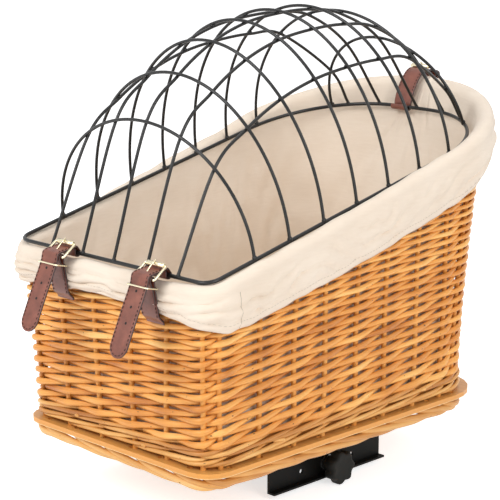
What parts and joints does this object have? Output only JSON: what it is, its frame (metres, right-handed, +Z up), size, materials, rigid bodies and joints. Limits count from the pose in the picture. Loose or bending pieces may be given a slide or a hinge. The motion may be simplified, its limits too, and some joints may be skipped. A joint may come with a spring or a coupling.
{
  "type": "dog_bicycle_basket",
  "caption": "Wicker bicycle basket for a small dog: cotton liner, wire dome lid held by leather straps with roller buckles, and a knob clamp for a rear rack",
  "frame": {"origin": "the underside of the steel mounting plate, where the rack's tubes bear, on the basket's middle plane", "axes": "+Z up; +Y to the high back end with one strap; -Y to the low end with two straps; +X to the side with the star knob"},
  "size_m": [0.3708, 0.6535, 0.5618],
  "materials": {
    "willow": "woven peeled willow rods with a thin clear varnish",
    "plywood": "sanded plywood, clear varnish",
    "cotton": "undyed plain cotton canvas",
    "leather": "brown strap leather with dark edges and a stitched border",
    "brass": "pale polished brass",
    "black_wire": "black powder coat, satin",
    "black_steel": "black powder coat, matte",
    "zinc": "zinc plated steel",
    "black_plastic": "moulded plastic, fine grain"
  },
  "bodies": {
    "basket": {"base_board": "plywood", "foot_border": "willow", "base_wale": "willow", "wicker_wall": "willow", "rim_border": "willow", "liner": "cotton", "seat_cushion": "cotton", "far_strap": "leather", "batten_near": "plywood", "batten_far": "plywood", "mounting_plate": "black_steel", "fixed_jaw": "black_steel", "jaw_screw_near": "zinc", "jaw_screw_far": "zinc", "clamp_bolt": "zinc", "lock_nut": "zinc", "board_bolt_1": "zinc", "board_bolt_2": "zinc", "board_bolt_3": "zinc", "board_bolt_4": "zinc", "tee_nut_1": "zinc", "tee_nut_2": "zinc", "tee_nut_3": "zinc", "tee_nut_4": "zinc", "short_strap_left": "leather", "buckle_left": "brass", "keeper_left": "brass", "short_strap_right": "leather", "buckle_right": "brass", "keeper_right": "brass", "short_strap_far": "leather", "buckle_far": "brass", "keeper_far": "brass"},
    "lid": {"lid_frame": "black_wire", "hoop_1": "black_wire", "hoop_2": "black_wire", "hoop_3": "black_wire", "hoop_4": "black_wire", "hoop_5": "black_wire", "hoop_6": "black_wire", "hoop_7": "black_wire", "hoop_8": "black_wire", "long_wire_1": "black_wire", "long_wire_2": "black_wire", "long_wire_3": "black_wire", "long_wire_4": "black_wire", "long_wire_5": "black_wire"},
    "near_strap_left": {"long_strap_left": "leather"},
    "near_strap_right": {"long_strap_right": "leather"},
    "clamp_jaw": {"sliding_jaw": "black_steel", "knob_washer": "zinc"},
    "knob": {"star_knob": "black_plastic", "knob_insert": "brass"},
    "prong_left": {"prong_left": "brass"},
    "roller_left": {"roller_left": "brass"},
    "prong_right": {"prong_right": "brass"},
    "roller_right": {"roller_right": "brass"},
    "prong_far": {"prong_far": "brass"},
    "roller_far": {"roller_far": "brass"}
  },
  "joints": [
    {"name": "lid_hinge", "type": "hinge", "parent": "basket", "child": "lid", "pos_m": [0, 0.30848, 0.39997], "axis": [-1, 0, 0], "range_deg": [0, 110], "deforming": ["far_strap", "long_strap_left", "long_strap_right"]},
    {"name": "strap_swing_left", "type": "hinge", "parent": "lid", "child": "near_strap_left", "pos_m": [-0.0665, -0.229, 0.2416], "axis": [-1, 0, 0], "range_deg": [0, 150], "deforming": ["long_strap_left"]},
    {"name": "strap_swing_right", "type": "hinge", "parent": "lid", "child": "near_strap_right", "pos_m": [0.0845, -0.229, 0.2416], "axis": [-1, 0, 0], "range_deg": [0, 150], "deforming": ["long_strap_right"]},
    {"name": "prong_hinge_left", "type": "hinge", "parent": "basket", "child": "prong_left", "pos_m": [-0.0665, -0.25262, 0.24015], "axis": [1, 0, 0], "range_deg": [0, 100], "deforming": ["long_strap_left"]},
    {"name": "roller_spin_left", "type": "hinge", "parent": "basket", "child": "roller_left", "pos_m": [-0.0665, -0.23512, 0.25265], "axis": [1, 0, 0], "continuous": true},
    {"name": "prong_hinge_right", "type": "hinge", "parent": "basket", "child": "prong_right", "pos_m": [0.0845, -0.25262, 0.24015], "axis": [1, 0, 0], "range_deg": [0, 100], "deforming": ["long_strap_right"]},
    {"name": "roller_spin_right", "type": "hinge", "parent": "basket", "child": "roller_right", "pos_m": [0.0845, -0.23512, 0.25265], "axis": [1, 0, 0], "continuous": true},
    {"name": "prong_hinge_far", "type": "hinge", "parent": "basket", "child": "prong_far", "pos_m": [-0.0165, 0.33898, 0.39497], "axis": [-1, 0, 0], "range_deg": [0, 100], "deforming": ["far_strap"]},
    {"name": "roller_spin_far", "type": "hinge", "parent": "basket", "child": "roller_far", "pos_m": [-0.0165, 0.32148, 0.40747], "axis": [1, 0, 0], "continuous": true},
    {"name": "jaw_slide", "type": "slide", "parent": "basket", "child": "clamp_jaw", "axis": [1, 0, 0], "range_m": [-0.008, 0.01]},
    {"name": "knob_spin", "type": "hinge", "parent": "clamp_jaw", "child": "knob", "pos_m": [0.1, 0.0355, -0.038], "axis": [1, 0, 0], "continuous": true}
  ]
}
